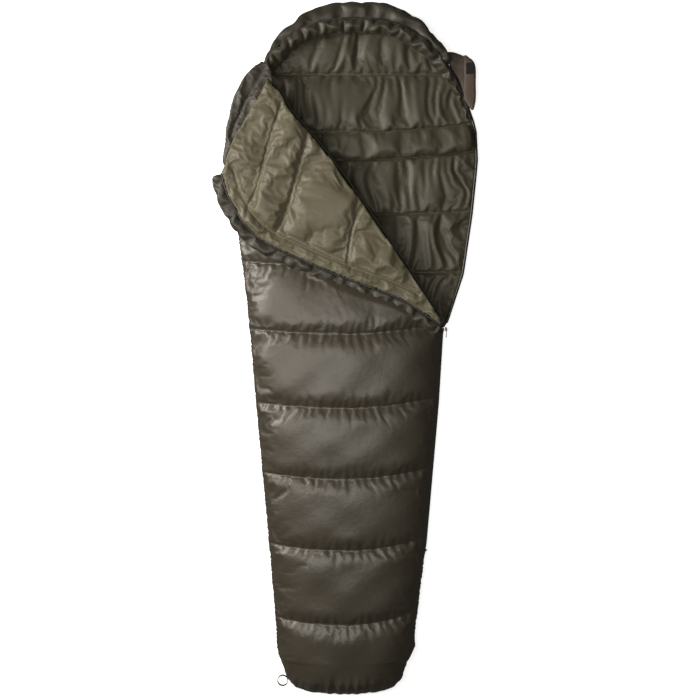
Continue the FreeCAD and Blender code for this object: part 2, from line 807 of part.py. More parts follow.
feature("cord_eyelet", Part.makeTorus(4.6, 1.4, Vector(), Vector(1, 0, 0)), heading_frame(LOCK_START))
feature("cord_end", cord_stub(), heading_frame(LOCK_START))
feature("lock_barrel", lock_barrel(), lock_base)
feature("lock_button", lock_button(), lock_base)
feature("lock_spring", lock_spring(), lock_base.multiply(Placement(Vector(0, 0, SPRING_LOW), Rotation())))


# ---------------------------------------------------------------- hang loop at the foot


def hang_loop():
    """A folded strip of webbing that stands out of the foot's left corner."""
    outer = Part.makeCylinder(size("loop_length") / 2, size("loop_width"), Vector())
    inner = Part.makeCylinder(size("loop_length") / 2 - 1.6, size("loop_width") + 2, Vector(0, 0, -1))
    return outer.cut(inner)


feature("hang_loop", hang_loop(), Placement(Vector(-212, -1056, 23), Rotation()))


# ---------------------------------------------------------------- check and write

doc.recompute()
problems = [thing.Name for thing in doc.Objects if {"Invalid", "Error"} & set(thing.State)]
for part in parts:
    if part.Shape.isNull() or not part.Shape.isValid() or part.Shape.Volume <= 0:
        problems.append(part.Label)
if problems:
    raise RuntimeError(f"these objects failed: {problems}")

os.makedirs("parts", exist_ok=True)
for part in parts:
    part.Shape.exportStep(f"parts/{part.Label}.step")
print(f"{len(parts)} sub-parts written")
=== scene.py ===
import json
import math

import bpy
import numpy as np
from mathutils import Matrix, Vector, geometry, kdtree


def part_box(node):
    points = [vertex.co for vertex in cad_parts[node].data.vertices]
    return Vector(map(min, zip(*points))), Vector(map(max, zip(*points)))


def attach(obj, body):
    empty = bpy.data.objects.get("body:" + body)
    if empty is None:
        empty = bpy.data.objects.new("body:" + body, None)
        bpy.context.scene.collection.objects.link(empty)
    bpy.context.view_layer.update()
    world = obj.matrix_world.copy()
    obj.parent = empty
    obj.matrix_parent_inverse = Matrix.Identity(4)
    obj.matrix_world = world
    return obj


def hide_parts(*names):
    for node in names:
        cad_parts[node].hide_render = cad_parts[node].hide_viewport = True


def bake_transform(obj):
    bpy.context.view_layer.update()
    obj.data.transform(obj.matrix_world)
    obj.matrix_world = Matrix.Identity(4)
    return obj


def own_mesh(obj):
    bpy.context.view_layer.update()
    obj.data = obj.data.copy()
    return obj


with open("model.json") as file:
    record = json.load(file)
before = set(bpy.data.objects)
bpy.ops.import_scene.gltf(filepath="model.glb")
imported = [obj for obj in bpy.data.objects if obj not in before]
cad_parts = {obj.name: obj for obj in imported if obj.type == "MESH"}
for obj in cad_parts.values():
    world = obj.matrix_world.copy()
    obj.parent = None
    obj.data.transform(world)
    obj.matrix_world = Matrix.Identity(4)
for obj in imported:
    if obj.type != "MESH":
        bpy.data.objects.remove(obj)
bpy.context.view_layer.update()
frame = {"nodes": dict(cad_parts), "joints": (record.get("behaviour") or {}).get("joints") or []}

# ------------------------------------------------------------------ the bag's outline and its fold

# Place along the bag, left edge and right edge at each quilting seam.
EDGES = np.array([
    (-0.894, -0.235, 0.206),
    (-0.634, -0.258, 0.2395),
    (-0.406, -0.279, 0.2595),
    (-0.171, -0.301, 0.280),
    (0.054, -0.320, 0.294),
    (0.244, -0.341, 0.356),
    (0.434, -0.368, 0.384),
    (0.560, -0.405, 0.397),
    (0.609, -0.392, 0.401),
    (0.697, -0.386, 0.397),
    (0.881, -0.300, 0.352),
])
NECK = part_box("back_shell")[1].y
FOOT_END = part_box("foot_shell")[0].y
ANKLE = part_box("back_shell")[0].y

fold = next(joint for joint in frame["joints"] if joint["name"] == "flap_fold")
FOLD_START = np.array(fold["pos_m"])
FOLD_ALONG = np.array(fold["axis"])
# The folded flap lies outwards from its fold and slopes down a little.
FLAP_SLOPE = -0.026
FOLD_OUT = np.cross([0, 0, 1], FOLD_ALONG)
FOLD_OUT[2] = FLAP_SLOPE
FOLD_OUT /= np.linalg.norm(FOLD_OUT)

# ------------------------------------------------------------------ smooth lines

SAMPLES_PER_RUN = 24
NOISE_WAVES = 9


def smooth_line(points, step):
    """A Catmull-Rom curve through the points, sampled evenly at a step."""
    points = np.asarray(points, float)
    extended = np.vstack([2 * points[0] - points[1], points, 2 * points[-1] - points[-2]])
    samples = []
    for index in range(1, len(extended) - 2):
        before, start, end, after = extended[index - 1 : index + 3]
        for share in np.linspace(0, 1, SAMPLES_PER_RUN, endpoint=False):
            bend = 2 * before - 5 * start + 4 * end - after
            twist = 3 * (start - end) + after - before
            curve = 2 * start + (end - before) * share + bend * share**2 + twist * share**3
            samples.append(curve / 2)
    samples.append(extended[-2])
    return even_line(np.array(samples), step)


def even_line(points, step):
    """The same open line with its points a step apart."""
    points = np.asarray(points, float)
    runs = np.linalg.norm(np.diff(points, axis=0), axis=1)
    along = np.concatenate([[0], np.cumsum(runs)])
    count = max(int(round(along[-1] / step)), 1)
    wanted = np.linspace(0, along[-1], count + 1)
    return np.column_stack([np.interp(wanted, along, column) for column in points.T])


def inside(points, outline):
    """Which points lie inside a closed outline."""
    x, y = points[:, 0], points[:, 1]
    result = np.zeros(len(points), bool)
    x0, y0 = outline[-1]
    for x1, y1 in outline:
        if y0 != y1:
            crosses = (y0 > y) != (y1 > y)
            result ^= crosses & (x < (x1 - x0) * (y - y0) / (y1 - y0) + x0)
        x0, y0 = x1, y1
    return result


def nearest(points, targets):
    """Distance from each point to the closest target point."""
    tree = kdtree.KDTree(len(targets))
    for index, (x, y) in enumerate(targets):
        tree.insert((x, y, 0), index)
    tree.balance()
    return np.array([tree.find((x, y, 0))[2] for x, y in points])


def soft_noise(points, scale, seed=0):
    """Smooth noise of about -1 to 1: a sum of a few seeded waves, with a length in metres for each axis."""
    dice = np.random.default_rng(seed)
    total = np.zeros(len(points))
    for _ in range(NOISE_WAVES):
        turn = dice.uniform(-1, 1, points.shape[1])
        phase = dice.uniform(0, 2 * math.pi)
        total += np.sin((points / np.asarray(scale)) @ turn * 2 * math.pi + phase)
    return total / math.sqrt(NOISE_WAVES)


def to_left(line):
    """Unit vectors to the left of a line in plan, one for each of its points."""
    normal = np.gradient(line, axis=0)[:, ::-1] * [-1, 1]
    return normal / np.linalg.norm(normal, axis=1, keepdims=True)


def raised(plan, height):
    """Points in plan, all lifted to one height."""
    return np.column_stack([plan, np.full(len(plan), height)])


# ------------------------------------------------------------------ quilted panels

# How far the free points stay from any line, and seam points from the outline, in steps.
GRID_CLEARANCE = 0.62
SEAM_CLEARANCE = 0.45
WELD = 1e-6
# Points closer than this to a seam are on it.
ON_SEAM = 0.0005


def layer(outline, seams, step):
    """Triangles over an outline, with the outline and the seams as edges.

    Returns the points, the triangles, which points are on the outline, which are on a seam, and the
    number that each point had on the way in, where the outline's points come first.
    """
    low, high = outline.min(0), outline.max(0)
    across = np.arange(low[0], high[0], step)
    up = np.arange(low[1], high[1], step * math.sqrt(0.75))
    grid = np.array([(x + (row % 2) * step / 2, y) for row, y in enumerate(up) for x in across])
    grid = grid[inside(grid, outline)]
    lines = [outline] + seams
    grid = grid[nearest(grid, np.vstack(lines)) > GRID_CLEARANCE * step]
    kept_seams = [seam[inside(seam, outline)] for seam in seams]
    kept_seams = [seam[nearest(seam, outline) > SEAM_CLEARANCE * step] for seam in kept_seams if len(seam)]
    edges = []
    start = len(outline)
    for seam in kept_seams:
        edges += [(start + i, start + i + 1) for i in range(len(seam) - 1)]
        start += len(seam)
    points = [Vector(point) for point in np.vstack([outline, *kept_seams, grid])]
    loop = list(range(len(outline)))
    inside_only = 1
    verts, _, triangles, origins, _, _ = geometry.delaunay_2d_cdt(points, edges, [loop], inside_only, WELD)
    origin = np.array([numbers[0] if numbers else -1 for numbers in origins])
    is_edge = (origin >= 0) & (origin < len(outline))
    is_seam = (origin >= len(outline)) & (origin < start)
    verts = np.array([tuple(vert) for vert in verts])
    return verts, [tuple(triangle) for triangle in triangles], is_edge, is_seam, origin


def dome(distance, reach):
    """0 on a seam and 1 from a distance on, rising like a quarter circle."""
    share = np.clip(distance / reach, 0, 1)
    return np.sqrt(1 - (1 - share) ** 2)


def quilt(name, outline, seams, place, finishes, step=0.007, under_step=0.014):
    """A closed padded panel with one finish on top and one below.

    Its seams and underside are held still in the simulation. place(points, distance, side) gives each
    vertex its position from its distance to the nearest seam. side is 1 on top and -1 below. A triangle
    with all its corners on the outline would lie on its own twin below, so both are left out.
    """
    lines = np.vstack([outline] + seams)
    top, top_faces, top_edge, top_seam, top_origin = layer(outline, seams, step)
    under, under_faces, under_edge, _, under_origin = layer(outline, seams, under_step)
    top_place = place(top, nearest(top, lines), 1)
    under_place = place(under, nearest(under, lines), -1)
    edge_index = {origin: index for index, origin in enumerate(top_origin) if top_edge[index]}
    renumber = []
    extra = []
    for index, origin in enumerate(under_origin):
        if under_edge[index] and origin in edge_index:
            renumber.append(edge_index[origin])
        else:
            renumber.append(len(top) + len(extra))
            extra.append(index)
    verts = np.vstack([top_place, under_place[extra]])
    under_faces = [tuple(renumber[i] for i in reversed(face)) for face in under_faces]
    flat = {frozenset(face) for face in top_faces} & {frozenset(face) for face in under_faces}
    top_faces = [face for face in top_faces if frozenset(face) not in flat]
    under_faces = [face for face in under_faces if frozenset(face) not in flat]
    faces = top_faces + under_faces
    pins = np.ones(len(verts))
    pins[: len(top)] = top_edge | top_seam
    thing = new_piece(name, verts, faces, finishes, pins)
    below = np.arange(len(faces)) >= len(top_faces)
    thing.data.polygons.foreach_set("material_index", below.astype(np.int32))
    return thing


def new_piece(name, verts, faces, finishes, pins=None):
    """A mesh object. The pins become a vertex group that holds its vertices still in a simulation."""
    data = bpy.data.meshes.new(name)
    data.from_pydata([tuple(v) for v in verts], [], faces)
    data.update()
    data.shade_smooth()
    thing = bpy.data.objects.new(name, data)
    bpy.context.scene.collection.objects.link(thing)
    for finish in finishes:
        data.materials.append(finish)
    if pins is not None:
        group = thing.vertex_groups.new(name="pins")
        group.add([int(index) for index in np.flatnonzero(pins)], 1.0, "REPLACE")
    return thing


# ------------------------------------------------------------------ cloth simulation

SIM_FRAMES = 16
STEPS_PER_FRAME = 5
VERTEX_MASS = 0.15
STIFFNESS = 12.0
SHEAR_STIFFNESS = 4.8
DAMPING = 8
BENDING_DAMPING = 0.5
AIR_DAMPING = 4

to_simulate = []


def puff(thing, grow, pressure, cap, bending=0.02):
    """Queues a piece for the simulation: its fabric is cut larger than its seams and filled.

    grow is how much larger, as a share, and no vertex moves further than the cap.
    """
    to_simulate.append((thing, cap, (grow, pressure, bending)))


def add_cloth(thing, grow, pressure, bending):
    cloth = thing.modifiers.new("cloth", "CLOTH")
    setup = cloth.settings
    setup.quality = STEPS_PER_FRAME
    setup.mass = VERTEX_MASS
    setup.tension_stiffness = STIFFNESS
    setup.compression_stiffness = STIFFNESS
    setup.shear_stiffness = SHEAR_STIFFNESS
    setup.bending_stiffness = bending
    setup.tension_damping = DAMPING
    setup.compression_damping = DAMPING
    setup.shear_damping = DAMPING
    setup.bending_damping = BENDING_DAMPING
    setup.air_damping = AIR_DAMPING
    setup.vertex_group_mass = "pins"
    setup.shrink_min = -grow
    setup.shrink_max = -grow
    setup.use_pressure = True
    setup.uniform_pressure_force = pressure
    setup.effector_weights.gravity = 0
    cloth.collision_settings.use_collision = False
    cloth.collision_settings.use_self_collision = False
    cloth.point_cache.frame_start = 1
    cloth.point_cache.frame_end = SIM_FRAMES


def simulate():
    """Runs every queued piece together, caps how far each vertex moved and keeps the result."""
    for thing, _, settings in to_simulate:
        add_cloth(thing, *settings)
    scene = bpy.context.scene
    for number in range(1, SIM_FRAMES + 1):
        scene.frame_set(number)
    graph = bpy.context.evaluated_depsgraph_get()
    for thing, cap, _ in to_simulate:
        moved = np.empty(len(thing.data.vertices) * 3, np.float32)
        thing.evaluated_get(graph).data.vertices.foreach_get("co", moved)
        rest = np.empty(len(moved), np.float32)
        thing.data.vertices.foreach_get("co", rest)
        moved, rest = moved.reshape(-1, 3), rest.reshape(-1, 3)
        step = moved - rest
        length = np.linalg.norm(step, axis=1, keepdims=True)
        limited = cap * np.tanh(length / cap)
        result = rest + step / np.maximum(length, 1e-9) * limited
        thing.modifiers.clear()
        thing.data.vertices.foreach_set("co", result.astype(np.float32).ravel())
        thing.data.update()
    scene.frame_set(1)


# ------------------------------------------------------------------ tubes

END_TAPER = 0.5
TAPERED_POINTS = 4


def tube(name, path, wide, high, finish, seams=(), around=18, gather=0.0, waves=0):
    """A soft tube along a path, narrower at its two ends.

    wide and high are half sizes, each one number or one for each point of the path. seams
    are the points of each ring that the simulation holds still. gather is the depth of the puckers
    round the tube, and waves how many there are.
    """
    path = np.asarray(path, float)
    wide = np.broadcast_to(wide, len(path))
    high = np.broadcast_to(high, len(path))
    along = np.gradient(path, axis=0)
    along /= np.linalg.norm(along, axis=1, keepdims=True)
    sideways = np.column_stack([-along[:, 1], along[:, 0], np.zeros(len(path))])
    sideways /= np.linalg.norm(sideways, axis=1, keepdims=True)
    upward = np.cross(along, sideways)
    share = np.linspace(0, 1, len(path))
    ends = np.minimum(share, 1 - share) * len(path)
    size = END_TAPER + (1 - END_TAPER) * dome(ends, TAPERED_POINTS)
    turns = np.linspace(0, 2 * math.pi, around, endpoint=False)
    rings = []
    for index in range(len(path)):
        swell = size[index]
        if waves:
            round_it = np.column_stack([np.full(around, share[index] * waves), turns / 2])
            pucker = soft_noise(round_it, (1, 1), 5)
            swell = swell * (1 + gather * pucker)[:, None]
        flat = wide[index] * np.cos(turns)[:, None] * sideways[index]
        tall = high[index] * np.sin(turns)[:, None] * upward[index]
        rings.append(path[index] + (flat + tall) * swell)
    verts = np.vstack(rings)
    faces = []
    for index in range(len(path) - 1):
        for turn in range(around):
            after = (turn + 1) % around
            low, high_row = index * around, (index + 1) * around
            faces.append((low + turn, high_row + turn, high_row + after, low + after))
    faces.append(tuple(range(around)))
    faces.append(tuple(reversed(range(len(verts) - around, len(verts)))))
    pins = np.zeros((len(path), around))
    pins[[0, -1]] = 1
    pins[:, list(seams)] = 1
    return new_piece(name, verts, faces, [finish], pins.ravel())


# ------------------------------------------------------------------ finishes

TINT_SCALE, FOLD_SCALE, WEAVE_SCALE, GLOSS_SCALE = 9, 55, 900, 120
FOLD_DEPTH, WEAVE_DEPTH = 0.006, 0.0006
WEAVE_STRENGTH = 0.15
GLOSS_SPREAD = 0.06


def finish_nodes(name, colour, roughness):
    material = bpy.data.materials.new(name)
    material.use_nodes = True
    tree = material.node_tree
    shader = tree.nodes["Principled BSDF"]
    shader.inputs["Base Color"].default_value = (*colour, 1)
    shader.inputs["Roughness"].default_value = roughness
    return material, tree, shader


def noise_node(tree, scale, detail):
    """Noise in the object's own coordinates, so that it moves with the piece."""
    place = tree.nodes.new("ShaderNodeTexCoord")
    noise = tree.nodes.new("ShaderNodeTexNoise")
    noise.inputs["Scale"].default_value = scale
    noise.inputs["Detail"].default_value = detail
    tree.links.new(place.outputs["Object"], noise.inputs["Vector"])
    return noise


def bump_node(tree, noise, strength, depth):
    bump = tree.nodes.new("ShaderNodeBump")
    bump.inputs["Strength"].default_value = strength
    bump.inputs["Distance"].default_value = depth
    tree.links.new(noise.outputs["Fac"], bump.inputs["Height"])
    return bump


def fabric(name, colour, roughness, crinkle, variation=0.18, sheen=0.1, gloss=0.45):
    """Woven cloth: a tint that wanders a little, small crinkles and a fine weave."""
    material, tree, shader = finish_nodes(name, colour, roughness)
    shader.inputs["Sheen Weight"].default_value = sheen
    shader.inputs["Sheen Roughness"].default_value = 0.5
    shader.inputs["Specular IOR Level"].default_value = gloss
    tint = noise_node(tree, TINT_SCALE, 4)
    ramp = tree.nodes.new("ShaderNodeValToRGB")
    ramp.color_ramp.elements[0].position = 0.3
    ramp.color_ramp.elements[1].position = 0.7
    ramp.color_ramp.elements[0].color = (*[part * (1 - variation) for part in colour], 1)
    ramp.color_ramp.elements[1].color = (*[part * (1 + variation) for part in colour], 1)
    tree.links.new(tint.outputs["Fac"], ramp.inputs["Fac"])
    tree.links.new(ramp.outputs["Color"], shader.inputs["Base Color"])
    folds = noise_node(tree, FOLD_SCALE, 5)
    weave = noise_node(tree, WEAVE_SCALE, 1)
    coarse = bump_node(tree, folds, crinkle, FOLD_DEPTH)
    fine = bump_node(tree, weave, WEAVE_STRENGTH, WEAVE_DEPTH)
    tree.links.new(coarse.outputs["Normal"], fine.inputs["Normal"])
    tree.links.new(fine.outputs["Normal"], shader.inputs["Normal"])
    return material


def hard(name, colour, roughness, metallic=0.0):
    """Moulded plastic or metal with slightly uneven gloss."""
    material, tree, shader = finish_nodes(name, colour, roughness)
    shader.inputs["Metallic"].default_value = metallic
    gloss = noise_node(tree, GLOSS_SCALE, 3)
    span = tree.nodes.new("ShaderNodeMapRange")
    span.inputs["To Min"].default_value = roughness - GLOSS_SPREAD
    span.inputs["To Max"].default_value = roughness + GLOSS_SPREAD
    tree.links.new(gloss.outputs["Fac"], span.inputs["Value"])
    tree.links.new(span.outputs["Result"], shader.inputs["Roughness"])
    return material


SHELL = fabric("shell", (0.042, 0.035, 0.024), 0.42, 0.12, sheen=0.1, gloss=0.6, variation=0.08)
# The back lining is the lining fabric painted darker: painted shade, for the light that the folded flap
# keeps off the back.
SHADED_BACK_LINING = fabric("back_lining", (0.050, 0.045, 0.028), 0.52, 0.12, sheen=0.1, variation=0.1)
# The rim lining is the lining fabric painted darker still: painted shade on the hood's rim.
SHADED_RIM_LINING = fabric("shaded_rim_lining", (0.034, 0.030, 0.019), 0.5, 0.15, sheen=0.08, variation=0.1)
# The shaded shell is the shell fabric painted darker: painted shade on the flap's lip, the neck band, the
# hood's roll and the fold strip.
SHADED_SHELL = fabric("shaded_shell", (0.030, 0.027, 0.019), 0.5, 0.12, sheen=0.08, variation=0.08)
LINING = fabric("lining", (0.100, 0.089, 0.055), 0.5, 0.15, sheen=0.12, variation=0.08)
LOBE = fabric("lobe", (0.075, 0.055, 0.042), 0.6, 0.3)
TAPE = fabric("tape", (0.012, 0.012, 0.011), 0.7, 0.1)
COIL = hard("coil", (0.010, 0.010, 0.010), 0.4)
METAL = hard("metal", (0.08, 0.08, 0.08), 0.35, 0.9)
CORD = fabric("cord", (0.018, 0.017, 0.015), 0.6, 0.3)
TOUCH = fabric("touch", (0.008, 0.008, 0.008), 0.9, 0.5)
PLASTIC = hard("plastic", (0.014, 0.014, 0.014), 0.4)
STEEL = hard("steel", (0.4, 0.4, 0.4), 0.3, 1.0)

NODE_FINISHES = {
    "zip_bottom_stop": METAL,
    "zip_slider": METAL,
    "zip_pull": METAL,
    "hang_loop": TAPE,
    "cord_end": CORD,
    "cord_eyelet": METAL,
    "lock_barrel": PLASTIC,
    "lock_button": PLASTIC,
    "hook_patch": TOUCH,
    "loop_patch": TOUCH,
}
for node_name, node in frame["nodes"].items():
    for start, finish in NODE_FINISHES.items():
        if node_name.startswith(start):
            node.data.materials.clear()
            node.data.materials.append(finish)

# ------------------------------------------------------------------ outlines shared by the panels

SEAM_STEP = 0.007
HALF_REACH = 0.45
LEFT, RIGHT = 1, 2


def along_edge(place, side):
    """Where the bag's left or right edge is, at a place along it."""
    return np.interp(place, EDGES[:, 0], EDGES[:, side])


# Place along the foot and half its width there.
FOOT_HALVES = np.array([
    (-0.983, 0.206),
    (-1.046, 0.184),
    (-1.076, 0.154),
    (-1.092, 0.105),
    (-1.099, 0.040),
])
FOOT_MIDDLE = -0.0145


def foot_end():
    """The rounded foot end, from its left side to its right one."""
    left = [(FOOT_MIDDLE - half, place) for place, half in FOOT_HALVES]
    right = [(FOOT_MIDDLE + half, place) for place, half in FOOT_HALVES[::-1]]
    return left + right


def edge_line(side, low, high, inset):
    """Points up one side of the bag, moved inwards by the inset."""
    inwards = inset if side == LEFT else -inset
    return [(along_edge(place, side) + inwards, place) for place in np.linspace(low, high, 25)]


def across(place, bow_left=0.018, bow_right=0.034):
    """A seam across the bag whose two ends rise."""
    x = np.linspace(-HALF_REACH, HALF_REACH, 61)
    half = (along_edge(place, RIGHT) - along_edge(place, LEFT)) / 2
    middle = (along_edge(place, RIGHT) + along_edge(place, LEFT)) / 2
    share = (x - middle) / half
    rise = np.where(share < 0, bow_left, bow_right) * share**2
    return even_line(np.column_stack([x, place + rise]), SEAM_STEP)


def closed(points, step=SEAM_STEP):
    """A closed outline through the points, with its own points a step apart."""
    points = np.asarray(points, float)
    return even_line(np.vstack([points, points[:1]]), step)[:-1]


def local_to_plan(points):
    """From places on the flap, along its fold and out from it, to the plan."""
    points = np.asarray(points, float)
    return FOLD_START[:2] + points[:, :1] * FOLD_ALONG[:2] + points[:, 1:] * FOLD_OUT[:2]


def plan_to_local(points):
    """The reverse of local_to_plan."""
    gap = points - FOLD_START[:2]
    basis = np.array([FOLD_ALONG[:2], FOLD_OUT[:2]]).T
    return np.linalg.solve(basis, gap.T).T


def fold_height(points):
    """Height of the plane that the folded flap lies on."""
    local = plan_to_local(points)
    return FOLD_START[2] + local @ np.array([FOLD_ALONG[2], FOLD_OUT[2]])


# The flap's edges, as places along its fold and out from it.
FLAP_CREST = [
    (0.030, 0.001), (0.150, 0.001), (0.264, 0.002), (0.380, 0.004), (0.479, 0.007),
    (0.637, 0.014), (0.738, 0.024), (0.826, 0.036), (0.888, 0.030), (0.948, 0.044),
]
FLAP_FREE = [
    (0.000, 0.012), (0.144, 0.075), (0.294, 0.182), (0.420, 0.266),
    (0.532, 0.332), (0.610, 0.352), (0.656, 0.352), (0.720, 0.345), (0.785, 0.325),
]
FLAP_NECK = [(0.836, 0.262), (0.864, 0.215), (0.896, 0.150), (0.928, 0.085)]

crest_line = smooth_line(FLAP_CREST, SEAM_STEP)
free_line = smooth_line(FLAP_FREE, SEAM_STEP)
FLAP_LOCAL = closed(np.vstack([crest_line, smooth_line(FLAP_NECK[::-1], SEAM_STEP), free_line[::-1]]))
FLAP_PLAN = local_to_plan(FLAP_LOCAL)

# ------------------------------------------------------------------ back panel with the hood's floor

# The hood's inner tube, from its left end to its right one.
RIM = [
    (-0.262, 0.868), (-0.245, 0.905), (-0.209, 0.951), (-0.139, 1.000), (-0.044, 1.024), (0.051, 1.028),
    (0.146, 1.011), (0.232, 0.962), (0.290, 0.905), (0.330, 0.850), (0.362, 0.790), (0.382, 0.735),
]
# Each row is a place on the hood's outer roll and half its width there.
ROLL = [
    (-0.274, 0.880, 0.012), (-0.250, 0.925, 0.017), (-0.215, 0.972, 0.022), (-0.145, 1.033, 0.029),
    (-0.045, 1.066, 0.035), (0.045, 1.070, 0.035), (0.135, 1.060, 0.034), (0.215, 1.016, 0.031),
    (0.270, 0.965, 0.026), (0.318, 0.912, 0.016),
]

BACK_INSET = 0.012
ZIP_OVERHANG = 0.010
OPENING_END = 0.078
COLLAR_LOW, COLLAR_HIGH = 0.607, 0.697
HOOD_START = 0.87
BACK_MIDDLE = 0.018
BACK_LOFT = 0.011
SEAM_RISE = 0.003
FOLD_FADE = 0.04
CHANNEL_SHIFT = 0.17
back_outline = closed(
    edge_line(LEFT, NECK - 0.03, ANKLE - 0.05, BACK_INSET)
    + edge_line(RIGHT, ANKLE - 0.05, OPENING_END - 0.03, BACK_INSET)
    + edge_line(RIGHT, OPENING_END, NECK - 0.02, -ZIP_OVERHANG)
    + [(x, place) for x, place, _ in ROLL[::-1]],
    0.008,
)
back_seams = [
    across(0.881, 0, 0.0),
    across(COLLAR_HIGH, 0, 0.03),
    across(COLLAR_LOW, 0, 0.028),
    across(0.432, 0, 0.012),
    across(0.246, 0, 0.004),
    across(0.054, 0, 0),
]


def back_place(points, distance, side):
    """The back panel: its folds run along the bag, differ in each channel and pucker at the seams."""
    if side < 0:
        return np.column_stack([points, BACK_MIDDLE - BACK_MIDDLE * dome(distance, 0.03)])
    channel = sum(points[:, 1] > np.interp(points[:, 0], seam[:, 0], seam[:, 1]) for seam in back_seams)
    lean = 0.015 * soft_noise(points, (0.26, 0.20), 6) + CHANNEL_SHIFT * channel
    bent = points + np.column_stack([lean, np.zeros(len(points))])
    folds = soft_noise(bent, (0.075, 0.22), 3) * 0.0048 + soft_noise(bent, (0.026, 0.09), 4) * 0.0018
    folds *= np.clip(distance / FOLD_FADE, 0, 1) * (0.75 + 0.35 * soft_noise(bent, (0.3, 0.3), 7))
    folds += soft_noise(bent, (0.022, 0.12), 12) * 0.0017 * np.exp(-distance / 0.02)
    hood = np.clip((points[:, 1] - HOOD_START) / 0.08, 0, 1)
    height = BACK_MIDDLE + SEAM_RISE + BACK_LOFT * dome(distance, 0.06) + folds + 0.010 * hood
    height[distance < ON_SEAM] = BACK_MIDDLE + SEAM_RISE
    return np.column_stack([points, height])


# The back panel's lining side is in the darkened lining: painted shade.
back = quilt("back_panel", back_outline, back_seams, back_place, [SHADED_BACK_LINING, SHELL], 0.0075, 0.03)
puff(back, grow=0.055, pressure=1.0, cap=0.009, bending=0.015)
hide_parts("back_shell", "back_insulation", "back_lining", "hood_lining")

# ------------------------------------------------------------------ closed top panel, footbox and fixed side

# Place along the bag and the height of its middle there.
TOP_HEIGHTS = np.array([
    (-1.100, 0.066),
    (-1.082, 0.092),
    (-1.046, 0.108),
    (-0.983, 0.114),
    (-0.894, 0.116),
    (0.054, 0.114),
    (0.244, 0.104),
    (0.434, 0.100),
    (0.880, 0.094),
])
EDGE_HEIGHT = 0.030
TOP_LOFT = 0.009
FOOT_GATHER = -1.02
FOOT_ROUNDING = 0.05
# The panel stays this far under the folded flap, and rises this steeply beside it.
FOLD_GAP = 0.006
PRESSED = 0.004
RISE_BESIDE = 0.75
UNDERSIDE_SHARE = 0.72

FOLD_INSET = np.array([0, 0.007])
fold_side = [tuple(point) for point in local_to_plan(crest_line + FOLD_INSET)]
top_outline = closed(
    edge_line(LEFT, 0.86, ANKLE - 0.05, 0.002)
    + foot_end()
    + edge_line(RIGHT, ANKLE - 0.05, 0.062, -0.008)
    + [point for point in fold_side if point[1] < 0.868],
)
top_seams = [
    across(-0.860),
    across(-0.628),
    across(-0.404),
    across(-0.182),
    across(0.050),
    across(0.262, 0.02, 0.02),
    across(0.434, 0.01, 0.0),
    across(0.609, 0.0, 0.0),
]


def half_width(place):
    """Half the bag's width at a place, with the rounded foot end."""
    half = (along_edge(place, RIGHT) - along_edge(place, LEFT)) / 2
    foot = np.interp(place, FOOT_HALVES[::-1, 0], FOOT_HALVES[::-1, 1], left=0.0)
    return np.where(place < FOOT_HALVES[0, 0], foot, half)


def top_middle(place):
    """Where the middle of the bag is, at a place along it."""
    middle = (along_edge(place, RIGHT) + along_edge(place, LEFT)) / 2
    return np.where(place < FOOT_HALVES[0, 0], FOOT_MIDDLE, middle)


def top_place(points, distance, side):
    """The closed top: an arch over the bag, pressed down where the flap lies on it."""
    x, place = points.T
    share = np.clip(np.abs(x - top_middle(place)) / np.maximum(half_width(place) + 0.006, 0.01), 0, 1)
    crown = np.interp(place, TOP_HEIGHTS[:, 0], TOP_HEIGHTS[:, 1])
    arch = (1 - share**2) ** 0.5
    swell = TOP_LOFT * dome(distance, 0.05) * np.sqrt(arch)
    height = EDGE_HEIGHT + (crown - 0.008 - EDGE_HEIGHT) * arch + swell
    height = EDGE_HEIGHT + (height - EDGE_HEIGHT) * dome(place - FOOT_END, FOOT_ROUNDING)
    height += soft_noise(points, (0.02, 0.08), 9) * 0.0012 * np.exp(-distance / 0.012)
    height += soft_noise(points, (0.14, 0.10), 10) * 0.0016 * np.clip(distance / 0.05, 0, 1)
    gathered = np.clip((FOOT_GATHER - place) / 0.04, 0, 1) * arch
    height += soft_noise(points[:, :1], (0.018,), 8) * 0.004 * gathered
    away = nearest(points, FLAP_PLAN) * ~inside(points, FLAP_PLAN)
    height = np.minimum(height, fold_height(points) - FOLD_GAP + RISE_BESIDE * away - PRESSED)
    to_fold = nearest(points, np.array(fold_side))
    height -= 0.028 * (1 - dome(to_fold, 0.03)) * (height > 0.05)
    if side < 0:
        height = EDGE_HEIGHT + (height - EDGE_HEIGHT) * UNDERSIDE_SHARE
    return np.column_stack([points, height])


top = quilt("top_panel", top_outline, top_seams, top_place, [SHELL, LINING], 0.0072, 0.03)
puff(top, grow=0.022, pressure=2.5, cap=0.007, bending=0.12)
for part in ("shell", "insulation", "lining"):
    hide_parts(f"top_{part}", f"side_{part}", f"foot_{part}")

# ------------------------------------------------------------------ flap

DRAFT_INSET = 0.040
to_outside = to_left(free_line)
draft_line = free_line - to_outside * DRAFT_INSET
draft_line = draft_line[(draft_line[:, 0] > 0.08) & (draft_line[:, 1] > 0.02)]
COLLAR_SEAM = [(0.738, 0.030), (0.650, 0.130), (0.560, 0.235), (0.535, 0.285)]
COLLAR_TOP_SEAM = [(0.860, 0.050), (0.780, 0.150), (0.690, 0.250), (0.655, 0.305)]
FLAP_SEAM = [(0.458, 0.006), (0.420, 0.070), (0.345, 0.140), (0.310, 0.150)]
flap_seams = [
    draft_line,
    smooth_line(COLLAR_SEAM, SEAM_STEP),
    smooth_line(COLLAR_TOP_SEAM, SEAM_STEP),
    smooth_line(FLAP_SEAM, SEAM_STEP),
]
collar_middle = smooth_line((np.array(COLLAR_SEAM) + COLLAR_TOP_SEAM) / 2, SEAM_STEP)
FLAP_MIDDLE = 0.015
FLAP_LOFT = 0.012
COLLAR_RISE = 0.009
LIP_OUTSET = 0.015


def flap_height(local, rise):
    """A place on the flap, lifted from the plane it lies on."""
    plan = local_to_plan(local)
    return np.column_stack([plan, fold_height(plan) + rise])


